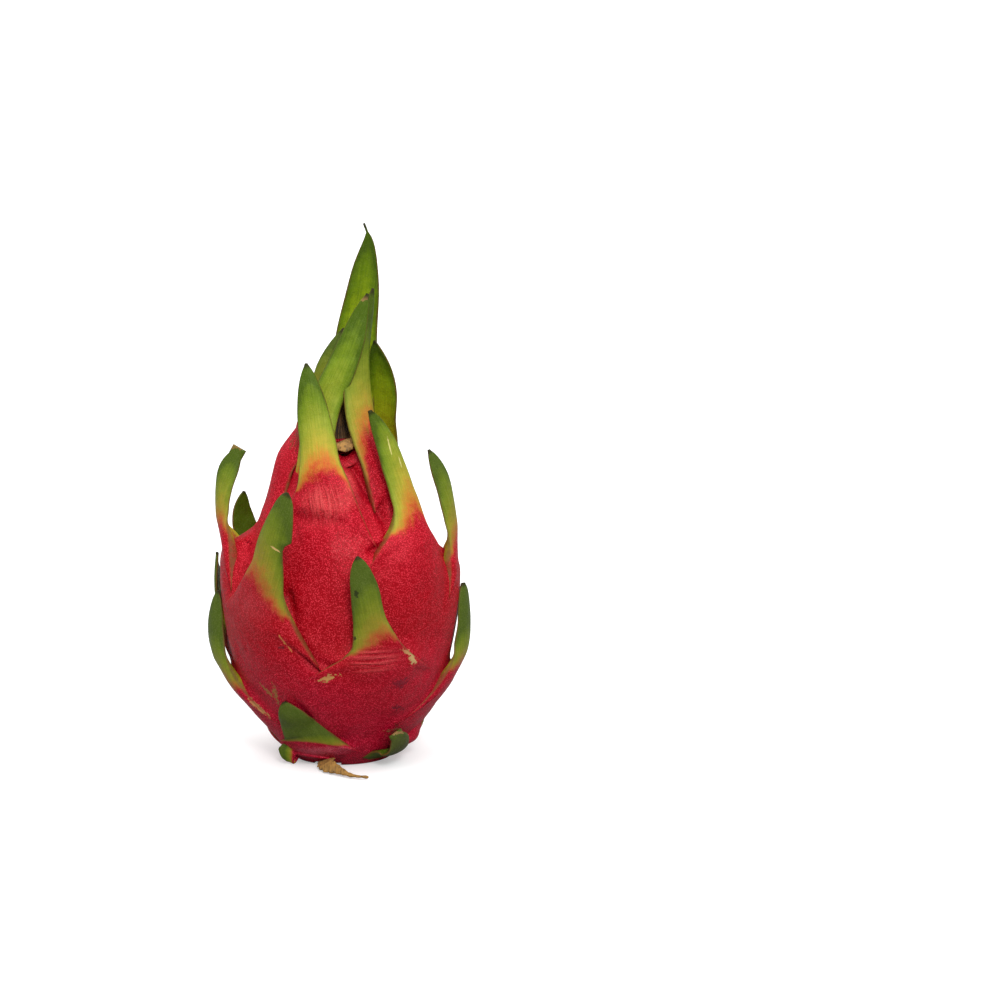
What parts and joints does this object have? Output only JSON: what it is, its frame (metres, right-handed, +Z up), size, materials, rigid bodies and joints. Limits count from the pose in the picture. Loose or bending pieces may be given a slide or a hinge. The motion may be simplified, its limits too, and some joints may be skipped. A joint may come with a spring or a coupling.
{
  "type": "dragon fruit",
  "caption": "Whole ripe dragon fruit with pointed green-tipped scales up its red peel, standing upright on its flattened base",
  "frame": {"origin": "centre of the base, on the surface that the fruit stands on", "axes": "+Z runs up the fruit from its stalk end to its flower end; -Y is the side with the widest view of its scales"},
  "size_m": [0.0956, 0.0944, 0.193],
  "materials": {
    "peel": "satin",
    "withered_flower": "matte",
    "dry_stalk": "matte"
  },
  "bodies": {
    "root": {"fruit": "peel", "flower_remnant": "withered_flower", "stalk_remnant": "dry_stalk"}
  },
  "joints": []
}
